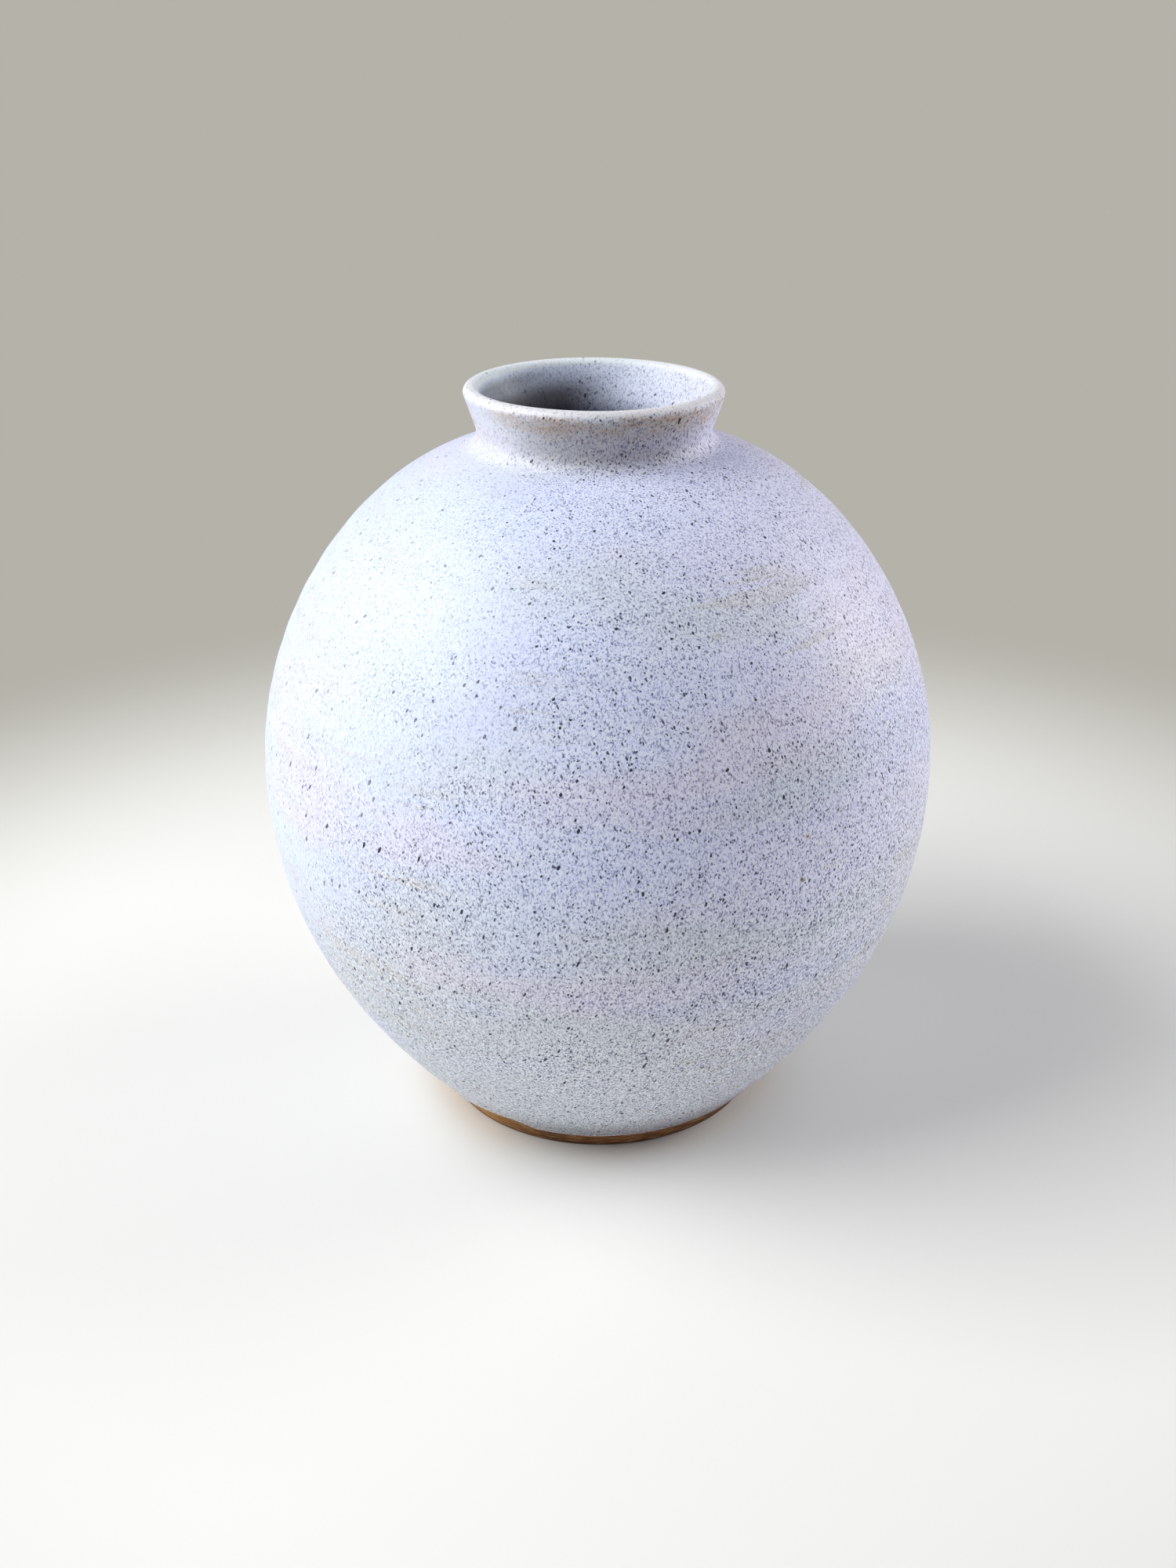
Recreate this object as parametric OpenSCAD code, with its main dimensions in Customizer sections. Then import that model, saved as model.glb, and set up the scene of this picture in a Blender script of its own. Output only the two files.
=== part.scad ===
// Wheel-thrown stoneware vase: a globe on a bare foot ring, with a short flared collar.
// Z is up, and the origin is the centre of the foot on the table.
// Every outline is half of a section through the pot, as [radius, height], turned round the axis.

/* [Overall] */
// Height from the table to the crest of the lip
overall_h = 200.5; // [170:0.5:245]
// Largest diameter, at the belly
belly_d = 180; // [150:1:220]
// Height of the belly's widest ring above the table
belly_z = 99; // [85:1:115]

/* [Lower body] */
// Diameter of the glaze's lower edge
glaze_line_d = 97.2; // [82:0.2:116]
// Height of the bare band between the table and the glaze
bare_h = 6; // [4:0.5:9]
// Steepness of the wall where it leaves the foot, in degrees above level
lower_rise = 48.4; // [40:0.2:58]
// How far that slope runs before the wall curves up
lower_run = 34; // [26:1:44]
// How far below the belly the wall stays nearly upright
belly_drop = 40; // [30:1:48]

/* [Shoulder] */
// How far above the belly the wall stays nearly upright
belly_lift = 42.5; // [34:0.5:52]
// How far the shoulder's slope runs out from the collar
shoulder_run = 28.5; // [22:0.5:36]
// Fall of the shoulder where it leaves the collar, in degrees below level
shoulder_fall = 14.5; // [8:0.5:24]

/* [Collar and lip] */
// Outside diameter of the collar at its narrowest
waist_d = 60.4; // [50:0.2:74]
// Height of the lip's crest above that narrowest ring
collar_h = 11.6; // [9.6:0.2:20]
// Radius of the hollow curve between shoulder and collar
waist_curve_r = 4.5; // [3:0.5:6]
// How far the lip stands out past that narrowest ring
flare_out = 2.9; // [1.6:0.1:5]
// Thickness of the rounded lip, glaze included
lip_t = 4; // [3.2:0.1:5]

/* [Clay and glaze] */
// Thickness of the wall at the belly, glaze included
wall_t = 5.5; // [4.4:0.1:6.6]
// Thickness of the floor at the middle, glaze included
floor_t = 7.5; // [6:0.5:10]
// Thickness of the outer glaze
glaze_t = 0.6; // [0.4:0.05:0.8]
// Thickness of the liner glaze
liner_t = 0.5; // [0.4:0.05:0.7]
// Thickness of the wall at the heel, just above the foot, glaze included
heel_t = 7.5; // [6:0.5:9]
// Radius of the flat middle of the inside
flat_r = 14; // [8:1:20]

/* [Foot ring] */
// How far the bare band tapers in from the glaze line to the table
foot_taper = 3.9; // [2:0.1:6]
// Width of the ring under the pot
ring_w = 8; // [6:0.5:10]
// Radius of the ring's rounded lower edges
edge_r = 1; // [0.5:0.1:1.5]
// Height of the low disc under the floor that centres the ring
boss_h = 1.2; // [0.8:0.1:2]

/* [Collar joint] */
// Width of the ledge in the shoulder that the collar rests on
ledge_w = 2; // [1.4:0.1:2.6]

/* [Hidden] */
$fn = 180;
BODY_STEPS = 36;
FLOOR_STEPS = 16;
CURVE_STEPS = 10;
EDGE_STEPS = 6;

// Plain geometry of outlines

// The point at distance r from c in direction a
function polar(c, r, a) = c + r * [cos(a), sin(a)];

// An arc round c, from angle a0 to a1
function arc(c, r, a0, a1, steps) = [for (i = [0:steps]) polar(c, r, a0 + (a1 - a0) * i / steps)];

// A point on the cubic curve q at u, and the curve's direction there
function on_curve(q, u) =
    pow(1 - u, 3) * q[0] + 3 * pow(1 - u, 2) * u * q[1] + 3 * (1 - u) * pow(u, 2) * q[2] + pow(u, 3) * q[3];
function along(q, u) =
    pow(1 - u, 2) * (q[1] - q[0]) + 2 * (1 - u) * u * (q[2] - q[1]) + pow(u, 2) * (q[3] - q[2]);

// A step of length 1 to the left of v, which is into the wall for an outline drawn upward
function into_wall(v) = [-v[1], v[0]] / norm(v);

// The point at u on the curve q moved into the wall, by d0 at its start and d1 at its end
function inset(q, d0, d1, u) = on_curve(q, u) + (d0 + (d1 - d0) * u) * into_wall(along(q, u));

// All of that curve from u0 to its end
function inset_curve(q, d0, d1, steps, u0 = 0) = [
    for (i = [0:steps]) inset(q, d0, d1, u0 + (1 - u0) * i / steps)
];

function backwards(points) = [for (i = [len(points) - 1:-1:0]) points[i]];

// The four points of the outer curves, foot to belly and belly to collar

belly = [belly_d / 2, belly_z];
glaze_foot = [glaze_line_d / 2, bare_h];
waist_c = [waist_d / 2 + waist_curve_r, overall_h - collar_h];
shoulder_a = 270 - shoulder_fall;
shoulder_top = polar(waist_c, waist_curve_r, shoulder_a);

lower_curve = [
    glaze_foot,
    polar(glaze_foot, lower_run, lower_rise),
    belly - [0, belly_drop],
    belly
];
upper_curve = [
    belly,
    belly + [0, belly_lift],
    polar(shoulder_top, shoulder_run, -shoulder_fall),
    shoulder_top
];

// The flare is the straight line that touches both the hollow curve and the round lip
lip_r = lip_t / 2;
lip_c = [waist_d / 2 + flare_out - lip_r, overall_h - lip_r];
to_lip = lip_c - waist_c;
flare_a = atan2(to_lip[1], to_lip[0]) + acos((waist_curve_r + lip_r) / norm(to_lip));
crest_a = 90;

// The seam steps halfway through the wall, so that the body keeps a ledge under the collar
half_wall_r = waist_curve_r + lip_t / 2;
ledge_a = shoulder_a - ledge_w / half_wall_r * 180 / PI;
seam = [
    polar(waist_c, half_wall_r, shoulder_a),
    polar(waist_c, half_wall_r, ledge_a)
];

// Outer side from the shoulder to the crest of the lip, at a depth d below the surface
function collar_outside(d) = concat(
    arc(waist_c, waist_curve_r + d, shoulder_a, flare_a, CURVE_STEPS),
    arc(lip_c, lip_r - d, flare_a - 180, crest_a, CURVE_STEPS)
);

// Inner side from the crest down to the ledge, at a depth d under the liner's face
function collar_inside(d) = concat(
    arc(lip_c, lip_r - d, crest_a, flare_a, CURVE_STEPS),
    arc(waist_c, waist_curve_r + lip_t - d, flare_a, ledge_a, CURVE_STEPS)
);

// Inner side from the ledge down to the globe, which belongs to the body
function throat(d) = arc(waist_c, waist_curve_r + lip_t - d, ledge_a, shoulder_a, EDGE_STEPS);

// Outside of the globe at a depth d
function globe_outside(d) = concat(
    inset_curve(lower_curve, d, d, BODY_STEPS),
    inset_curve(upper_curve, d, d, BODY_STEPS)
);

// The ring's top follows the clay at the glaze line, and the low disc fills its middle
clay_foot = glaze_foot + glaze_t * into_wall(along(lower_curve, 0));
ring_top_z = clay_foot[1];
foot_r = glaze_line_d / 2 - foot_taper;
ring_bore_r = foot_r - ring_w;
under_z = ring_top_z - boss_h;
floor_z = under_z + floor_t;

// The inside leaves the wall low down, at the heel, and sweeps round into the flat floor
HEEL_U = 0.2;
heel = inset(lower_curve, heel_t, wall_t, HEEL_U);
heel_slope = along(lower_curve, HEEL_U) / norm(along(lower_curve, HEEL_U));
heel_rise = heel[1] - floor_z;
floor_curve = [
    [flat_r, floor_z],
    [(flat_r + heel[0]) / 2, floor_z],
    heel - heel_rise * heel_slope,
    heel
];

// Inside of the globe, from the shoulder to the middle of the floor, at a depth d under the liner's face
function globe_inside(d) = concat(
    backwards(inset_curve(upper_curve, wall_t - d, lip_t - d, BODY_STEPS)),
    backwards(inset_curve(lower_curve, heel_t - d, wall_t - d, BODY_STEPS, HEEL_U)),
    backwards(inset_curve(floor_curve, -d, -d, FLOOR_STEPS)),
    [[0, floor_z - d]]
);

module turned(points) {
    rotate_extrude() polygon(points);
}

module foot_ring() {
    outer_edge = [foot_r - edge_r, edge_r];
    inner_edge = [ring_bore_r + edge_r, edge_r];
    color("peru") turned(concat(
        [[ring_bore_r, ring_top_z]],
        arc(inner_edge, edge_r, 180, 270, EDGE_STEPS),
        arc(outer_edge, edge_r, 270, 360, EDGE_STEPS),
        [clay_foot]
    ));
}

module thrown_body() {
    color("burlywood") turned(concat(
        [[0, under_z], [ring_bore_r, under_z], [ring_bore_r, ring_top_z]],
        globe_outside(glaze_t),
        seam,
        throat(liner_t),
        globe_inside(liner_t)
    ));
}

module neck_collar() {
    color("tan") turned(concat(
        collar_outside(glaze_t),
        collar_inside(liner_t),
        backwards(seam)
    ));
}

module outer_glaze() {
    rolled_edge = arc(
        (glaze_foot + clay_foot) / 2, glaze_t / 2, lower_rise - 270, lower_rise - 90, EDGE_STEPS
    );
    color("lavender") turned(concat(
        rolled_edge,
        globe_outside(0),
        collar_outside(0),
        backwards(collar_outside(glaze_t)),
        backwards(globe_outside(glaze_t))
    ));
}

module liner_glaze() {
    color("thistle") turned(concat(
        collar_inside(0),
        throat(0),
        globe_inside(0),
        backwards(globe_inside(liner_t)),
        backwards(throat(liner_t)),
        backwards(collar_inside(liner_t))
    ));
}

foot_ring();
thrown_body();
neck_collar();
outer_glaze();
liner_glaze();
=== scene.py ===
# %% [markdown]
# # A wheel-thrown stoneware vase
#
# The vase is five pieces: a body thrown on the wheel, a foot ring turned from the same clay, a collar luted
# on top, and two coats of glaze, one outside and one inside. The CAD model already has each of them at its
# true size and place. This lesson gives them the surface that a potter would know: fingertip rings, an
# uneven glaze line with a rolled edge, tooling marks on the bare foot, and a satin glaze full of iron.
#
# We load the CAD model first. It is the frame that everything else is fitted to, and its outer box is kept.

# %% Load the frame
import math

import bpy
import numpy as np
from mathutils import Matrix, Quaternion, Vector


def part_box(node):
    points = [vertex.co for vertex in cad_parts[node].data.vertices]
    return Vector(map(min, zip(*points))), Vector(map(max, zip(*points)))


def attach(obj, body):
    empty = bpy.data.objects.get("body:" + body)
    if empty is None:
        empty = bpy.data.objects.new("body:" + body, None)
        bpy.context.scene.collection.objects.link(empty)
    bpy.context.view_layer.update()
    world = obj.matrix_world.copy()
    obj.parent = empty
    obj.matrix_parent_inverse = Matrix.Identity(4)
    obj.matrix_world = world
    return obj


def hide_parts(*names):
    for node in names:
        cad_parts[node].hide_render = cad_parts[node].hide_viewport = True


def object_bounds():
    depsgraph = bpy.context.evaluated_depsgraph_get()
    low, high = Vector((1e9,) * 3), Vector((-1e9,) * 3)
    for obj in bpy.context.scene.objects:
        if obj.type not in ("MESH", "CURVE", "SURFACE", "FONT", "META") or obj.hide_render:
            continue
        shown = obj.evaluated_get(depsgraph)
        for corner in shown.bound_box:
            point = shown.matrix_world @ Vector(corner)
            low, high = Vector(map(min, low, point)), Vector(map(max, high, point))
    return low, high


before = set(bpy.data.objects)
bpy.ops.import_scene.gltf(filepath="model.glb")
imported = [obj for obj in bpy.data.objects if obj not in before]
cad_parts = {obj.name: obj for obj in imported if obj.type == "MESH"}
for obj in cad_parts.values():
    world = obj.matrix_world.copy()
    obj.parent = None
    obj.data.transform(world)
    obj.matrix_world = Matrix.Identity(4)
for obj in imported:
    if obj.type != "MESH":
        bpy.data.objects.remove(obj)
cad_low, cad_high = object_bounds()
MM = 0.001
print("nodes:", ", ".join(sorted(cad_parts)))
print("CAD box in mm:", [round(v / MM, 2) for v in cad_high - cad_low])

# %% [markdown]
# ## Reading the outlines
#
# A pot thrown on the wheel is one outline turned round an axis. We could type that outline in again, but
# then it could drift away from the CAD. Every turned node has a row of mesh edges in the half-plane y = 0,
# x > 0, and those edges, walked from one to the next, are the outline itself. So we read it from there.
# A piece that reaches the axis has a flat disc in its middle with no edge in that half-plane, so its two
# ends are joined to the axis.

# %% Walk an outline
NEAR = 1e-6  # two CAD points closer than this, in metres, are one
LEVEL = 0.01 * MM  # and two heights closer than this count as the same


def cad_outline(node_name):
    """Points (radius, height) along a turned node's outline: a closed round, or a walk from axis to axis."""
    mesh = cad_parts[node_name].data
    at = np.array([v.co for v in mesh.vertices])
    on_seam = (abs(at[:, 1]) < NEAR) & (at[:, 0] > -NEAR)
    spots = np.round(at[:, [0, 2]] / NEAR).astype(int)
    beside = {}
    for edge in mesh.edges:
        a, b = edge.vertices
        if on_seam[a] and on_seam[b] and tuple(spots[a]) != tuple(spots[b]):
            beside.setdefault(tuple(spots[a]), set()).add(tuple(spots[b]))
            beside.setdefault(tuple(spots[b]), set()).add(tuple(spots[a]))
    ends = sorted(spot for spot in beside if len(beside[spot]) == 1)
    walk = [ends[-1] if ends else min(beside, key=lambda spot: spot[1])]
    while True:
        ahead = [spot for spot in sorted(beside[walk[-1]]) if spot not in walk]
        if not ahead:
            break
        walk.append(ahead[-1])
    points = np.array(walk) * NEAR
    if ends:
        points = np.vstack([[0, points[0, 1]], points, [0, points[-1, 1]]])
    print(f"{node_name}: {len(points)} outline points")
    return points


ring_outline = cad_outline("foot_ring")
body_outline = cad_outline("thrown_body")
outer_outline = cad_outline("outer_glaze")
liner_outline = cad_outline("liner_glaze")

# %% [markdown]
# Each coat of glaze has a face that shows and a back that lies on the clay. Both run from the bottom of the
# coat up to the crest of the lip, so splitting the outline at its highest point gives the two sides, and
# their largest radius tells which is which.

# %% Split a coat into its two sides
def sides(outline):
    """The two sides of a coat's outline, each from the bottom up to the crest, the wider one first."""
    top = outline[:, 1].argmax()
    halves = [outline[: top + 1], np.vstack([outline[top:], outline[:1]])[::-1]]
    return sorted(halves, key=lambda side: -side[:, 0].max())


ROLLED_STEP = 0.3 * MM  # the CAD's rolled glaze edge is drawn in shorter steps than this
outer_face = sides(outer_outline)[0]
steps = np.hypot(*np.diff(outer_face, axis=0).T)
outer_face = outer_face[(steps > ROLLED_STEP).argmax():]
liner_face = sides(liner_outline)[1]
coat_t = outer_face[:, 0].max() - body_outline[:, 0].max()
liner_t = liner_outline[:, 0].max() - liner_face[:, 0].max()
print(f"glaze line at radius {outer_face[0, 0] / MM:.1f} mm, height {outer_face[0, 1] / MM:.1f} mm")
print(f"outer coat {coat_t / MM:.2f} mm thick, liner {liner_t / MM:.2f} mm")

# %% [markdown]
# ## A smooth curve through the points
#
# The CAD outline has a point every millimetre or three. Straight lines between them would show as facets
# in the highlights, so a smooth curve is laid through them: a Catmull-Rom curve, whose direction at each
# point follows its two neighbours. The curve is then a table of places by distance, which makes it easy to
# ask for "the point 12 mm above the glaze line" and for the direction that faces out of the wall there.

# %% Lay a smooth curve
class Curve:
    """A smooth line through points (radius, height), read by distance from its start."""

    def __init__(self, points, start, end, side, fineness=24):
        """start and end are the directions at the two ends; side is 1 or -1, the side that faces out."""
        spacing = np.hypot(*np.diff(points, axis=0).T)
        along = np.concatenate([[0], np.cumsum(spacing)])
        slopes = np.zeros_like(points)
        slopes[1:-1] = (points[2:] - points[:-2]) / (along[2:] - along[:-2])[:, None]
        slopes[0], slopes[-1] = start, end
        pieces = []
        for i, length in enumerate(spacing):
            t = np.linspace(0, 1, fineness, endpoint=False)[:, None]
            pieces.append(
                (2 * t**3 - 3 * t**2 + 1) * points[i] + (3 * t**2 - 2 * t**3) * points[i + 1]
                + length * ((t**3 - 2 * t**2 + t) * slopes[i] + (t**3 - t**2) * slopes[i + 1])
            )
        self.points = np.vstack(pieces + [points[-1:]])
        self.s = np.concatenate([[0], np.cumsum(np.hypot(*np.diff(self.points, axis=0).T))])
        self.length = self.s[-1]
        ahead = np.gradient(self.points, self.s, axis=0)
        ahead[0], ahead[-1] = start, end
        ahead /= np.hypot(*ahead.T)[:, None]
        self.out = side * np.stack([-ahead[:, 1], ahead[:, 0]], 1)
        turn = np.unwrap(np.arctan2(ahead[:, 1], ahead[:, 0]))
        self.bend = abs(np.gradient(turn, self.s))

    def place(self, s, depth):
        """Radius and height at distance s, moved out of the wall by -depth."""
        r, z, out_r, out_z = (np.interp(s, self.s, c) for c in (*self.points.T, *self.out.T))
        return r - depth * out_r, z - depth * out_z

    def stations(self, longest, turn):
        """Distances along the curve, at most longest apart and closer where it bends by more than turn."""
        step = np.minimum(longest, turn / np.maximum(self.bend, 1e-3))
        count = np.concatenate([[0], np.cumsum(np.diff(self.s) / (0.5 * (step[1:] + step[:-1])))])
        return np.interp(np.linspace(0, count[-1], int(count[-1]) + 2), count, self.s)


wall_up = outer_face[1] - outer_face[0]
outside = Curve(outer_face, wall_up / np.hypot(*wall_up), (-1, 0), side=-1)
inside = Curve(liner_face, (1, 0), (1, 0), side=1)
print(f"outside {outside.length / MM:.1f} mm from glaze line to crest, inside {inside.length / MM:.1f} mm")

# %% [markdown]
# ## Unevenness
#
# Nothing thrown by hand is quite round. `wander` gives a smooth random value from about -1 to 1 that
# closes on itself after one turn, made of a few waves round the pot whose phases drift with height. The
# seed fixes it, so the vase comes out the same each time.

# %% A smooth random value round the pot
def wander(angle, height, seed, waves=4, drift=25.0):
    """A smooth random value for each angle and height. drift is how fast it changes upwards, per metre."""
    rng = np.random.default_rng(seed)
    total = 0
    for turns in range(1, waves + 1):
        phase, lean = rng.uniform(0, 2 * math.pi), rng.uniform(-drift, drift)
        total = total + np.sin(turns * angle + phase + lean * height) / math.sqrt(turns)
    return total / math.sqrt(waves)


def smooth_step(x, low, high):
    """0 below low, 1 above high, and a soft curve between them."""
    t = np.clip((x - low) / (high - low), 0, 1)
    return t * t * (3 - 2 * t)


# %% [markdown]
# The lip of this pot isn't quite level either. The collar was luted on by eye, and its right side ended up
# a little lower than its left. Every piece in the neck leans by the same rule, so they still fit together.

# %% Lean of the lip
LIP_LEAN = 0.75 * MM
LEAN_OVER = 9 * MM  # the lean comes in over this height, from the bottom of the collar
collar_low, collar_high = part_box("neck_collar")


def lip_lean(x, height):
    """How far a point sinks: nothing in the globe, and in the collar more towards the right."""
    in_collar = smooth_step(height, collar_low.z, collar_low.z + LEAN_OVER)
    return in_collar * LIP_LEAN * (0.5 + 0.5 * x / collar_high.x)


print(f"the lip leans by {LIP_LEAN / MM:.2f} mm")

# %% [markdown]
# ## Turning an outline into a mesh
#
# Blender can turn an outline with its Screw modifier, but then every column is the same. Here each column
# may differ a little, because the clay and the glaze are uneven round the pot. So the mesh is made from a
# table of radii and heights, a row for each point of the outline and a column for each step round. A row
# whose radius is zero becomes one point on the axis.

# %% Turn a table into a mesh
SHARP = math.radians(50)  # an edge that turns by more than this is drawn as a crease


def round_angles(columns):
    """Directions round the pot. Angle 0 is the front, at -Y, and angles grow towards +X."""
    return np.arange(columns) * 2 * math.pi / columns


def turned(name, radius, height, closed, from_edge=None):
    """A mesh object from tables of radius and height, rows by columns.

    closed joins the last row to the first. from_edge is a table of heights above the glaze's edge, which the
    mesh keeps for its material.
    """
    rows, columns = radius.shape
    angle = round_angles(columns)
    x, y = radius * np.sin(angle), -radius * np.cos(angle)
    grid = np.stack([x, y, height - lip_lean(x, height)], -1).reshape(-1, 3)
    index = np.arange(rows * columns).reshape(rows, columns)
    on_axis = radius.max(axis=1) < NEAR
    index[on_axis] = index[on_axis, :1]
    low, high = (index, np.roll(index, -1, 0)) if closed else (index[:-1], index[1:])
    corners = np.stack([low, np.roll(low, -1, 1), np.roll(high, -1, 1), high], -1).reshape(-1, 4)
    used, corners = np.unique(corners, return_inverse=True)
    faces = [tuple(dict.fromkeys(face)) for face in corners.reshape(-1, 4).tolist()]
    mesh = bpy.data.meshes.new(name)
    mesh.from_pydata(grid[used], [], faces)
    if signed_volume(mesh) < 0:
        mesh.flip_normals()
    if from_edge is not None:
        kept = mesh.attributes.new("from_edge", "FLOAT", "POINT")
        kept.data.foreach_set("value", np.ravel(from_edge + 0 * radius)[used])
    mesh.shade_smooth()
    mesh.set_sharp_from_angle(angle=SHARP)
    made = bpy.data.objects.new(name, mesh)
    bpy.context.scene.collection.objects.link(made)
    print(f"{name}: {len(mesh.polygons)} faces, {signed_volume(mesh) * 1e6:.2f} cm3")
    return made


def signed_volume(mesh):
    """The volume inside a closed mesh, negative where its faces look inwards."""
    mesh.calc_loop_triangles()
    at = np.zeros(3 * len(mesh.vertices))
    mesh.vertices.foreach_get("co", at)
    corners = np.zeros(3 * len(mesh.loop_triangles), int)
    mesh.loop_triangles.foreach_get("vertices", corners)
    a, b, c = at.reshape(-1, 3)[corners.reshape(-1, 3)].transpose(1, 0, 2)
    return float((a * np.cross(b, c)).sum() / 6)


# %% [markdown]
# ## The outer glaze
#
# This is the coat that everyone sees, so it gets the most care in its shape:
#
# - fingertip rings, which rise round the globe in one long spiral and are almost sponged away;
# - a body and a lip that are a tenth or two of a millimetre out of round;
# - a lower edge that wavers, steps up the wall at the front left, and swells into a small rolled bead
#   where the glaze stopped on the bare clay.
#
# All unevenness goes inwards from the CAD's surface, so the vase keeps its size. A bump in the material
# could fake the rings, but not the wavering edge, the bead or the outline, so all of them are in the mesh.

# %% The outside's unevenness
RING_PITCH = 9.5 * MM
RING_DEPTH = 0.13 * MM
OUT_OF_ROUND = 0.16 * MM
LIP_WAVER = 0.09 * MM
crest_z = outside.points[-1, 1]
lip_start_z = crest_z - 3.2 * MM  # between these two heights the globe's unevenness gives way to the lip's
lip_full_z = crest_z - 0.6 * MM


def lip_dip(angle):
    """How far the crest of the lip dips, the same for both coats, which meet there."""
    return LIP_WAVER * (1 + wander(angle, 0, seed=11, waves=5))


def throwing_rings(angle, height, pitch, seed):
    """From 0 to 1: a spiral of shallow grooves whose spacing and strength wander."""
    turn = height / pitch + angle / (2 * math.pi) + 0.35 * wander(angle, height, seed, waves=3, drift=40)
    strength = 0.55 + 0.45 * wander(angle, height, seed + 1, waves=3, drift=70)
    return strength * (0.5 - 0.5 * np.cos(2 * math.pi * turn))


def outside_dip(angle, height):
    """How far the outer glaze lies inside the CAD's surface."""
    body_dip = (
        RING_DEPTH * throwing_rings(angle, height, RING_PITCH, seed=21)
        + OUT_OF_ROUND * (0.6 + 0.4 * wander(angle, height, seed=31, waves=3, drift=14))
    )
    at_lip = smooth_step(height, lip_start_z, lip_full_z)
    return (1 - at_lip) * body_dip + at_lip * lip_dip(angle)


print(f"throwing rings {RING_PITCH / MM:.1f} mm apart and up to {RING_DEPTH / MM:.2f} mm deep")

# %% The glaze line
EDGE_WAVER = 0.13 * MM
STEP_RISE = 5.2 * MM
STEP_STARTS, STEP_FULL, STEP_FALLS, STEP_ENDS = np.radians([-66, -34, -28, -21.5])  # from the front


def edge_rise(angle):
    """How far up the wall the glaze stops from the CAD's glaze line, round the pot."""
    front = (angle + math.pi) % (2 * math.pi) - math.pi
    waver = EDGE_WAVER * (0.9 + 0.6 * wander(angle, 0, seed=41, waves=9))
    small = 0.25 * EDGE_WAVER * (1 + wander(angle, 0, seed=42, waves=40))
    step = smooth_step(front, STEP_STARTS, STEP_FULL) * (1 - smooth_step(front, STEP_FALLS, STEP_ENDS))
    return waver + small + STEP_RISE * step


def edge_height(angle):
    """Height of the glaze's edge above the table, round the pot."""
    return outside.place(coat_t / 2 + edge_rise(angle), coat_t / 2)[1]


print(f"the glaze line steps up the wall by {STEP_RISE / MM:.1f} mm")

# %% Build the outer glaze
COLUMNS = 400
BEAD = 0.16 * MM
BEAD_AT, BEAD_WIDTH = 0.9 * MM, 0.7 * MM  # where its middle lies above the edge, and how wide it is
EDGE_FADE = 20 * MM  # the rows follow the edge less and less, up to this far above it
EDGE_ROWS = 9  # steps round the coat's lower edge, from its back to its face
BACK_GAP = 0.01 * MM  # keeps the back of a coat just off the clay, so that no two faces coincide
OUTER_STEP = 1.4 * MM  # rows on the face are at most this far apart
FACE_TURN = 0.13  # and closer where the face would turn by more than this from row to row, in radians
BACK_STEP, BACK_TURN = 9 * MM, 0.4  # the same two for the back, which nobody sees
CREST_STEP = 0.03 * MM  # the last row but one lies this near the crest


def coat_rows(curve, thickness, longest, extra=()):
    """Distances and depths for a coat's closed round: its face upwards, then its back downwards."""
    near_crest = [curve.length - CREST_STEP]
    face = np.unique(np.concatenate([curve.stations(longest, FACE_TURN), extra, near_crest]))
    back = curve.stations(BACK_STEP, BACK_TURN)[::-1]
    s = np.concatenate([face, back])
    depth = np.concatenate([np.zeros(len(face)), np.full(len(back), thickness - BACK_GAP)])
    return s, depth


angle = round_angles(COLUMNS)[None, :]
bead_rows = np.arange(0.5, 3.6, 0.2) * MM  # extra rows that draw the bead
s, depth = coat_rows(outside, coat_t, OUTER_STEP, extra=bead_rows)
half = coat_t / 2
keep = (s >= half) | (s == 0)
s, depth = np.maximum(s[keep], half), depth[keep]
roll = math.pi * np.arange(1, EDGE_ROWS) / EDGE_ROWS
s = np.concatenate([s, half - half * np.sin(roll)])
depth = np.concatenate([depth, half + (half - BACK_GAP) * np.cos(roll)])

above_edge = s[:, None]
depth = depth[:, None]
moved = above_edge + edge_rise(angle) * (1 - smooth_step(above_edge, 0, EDGE_FADE))
bead = BEAD * (0.8 + 0.3 * wander(angle, 0, seed=43, waves=12))
bead = bead * np.exp(-(((above_edge - BEAD_AT) / BEAD_WIDTH) ** 2))
_, surface_z = outside.place(moved, 0)
in_face = 1 - depth / depth.max()
radius, height = outside.place(moved, depth + in_face * (outside_dip(angle, surface_z) - bead))
outer_coat = turned("outer_glaze_coat", radius, height, closed=True, from_edge=height - edge_height(angle))

# %% [markdown]
# ## The liner glaze
#
# Inside, nobody sponges the rings away, so they stand a little stronger and run down the throat to a spiral
# on the floor. The liner meets the outer coat on the crest of the lip. Both coats use the same `lip_dip`
# there, so the glaze runs over the lip without a step.

# %% Build the liner glaze
LINER_PITCH = 11 * MM
LINER_DEPTH = 0.2 * MM
LINER_COLUMNS = 300
LINER_STEP = 1.8 * MM
HUB = 8 * MM  # the rings fade out this near the middle of the floor


def liner_dip(angle, height, s):
    """How far the liner lies below the CAD's face, in the hollow's rings and on the lip."""
    rings = LINER_DEPTH * (throwing_rings(angle, s, LINER_PITCH, seed=51) - 0.5)
    at_axis = 1 - smooth_step(s, 0, HUB)
    at_lip = smooth_step(height, lip_start_z, lip_full_z)
    return (1 - at_lip) * (1 - at_axis) * rings + at_lip * lip_dip(angle)


angle = round_angles(LINER_COLUMNS)[None, :]
s, depth = coat_rows(inside, liner_t, LINER_STEP)
s, depth = s[:, None], depth[:, None]
_, surface_z = inside.place(s, 0)
in_face = 1 - depth / depth.max()
radius, height = inside.place(s + 0 * angle, depth + in_face * liner_dip(angle, surface_z, s))
liner_coat = turned("liner_glaze_coat", radius, height, closed=False)

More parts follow.
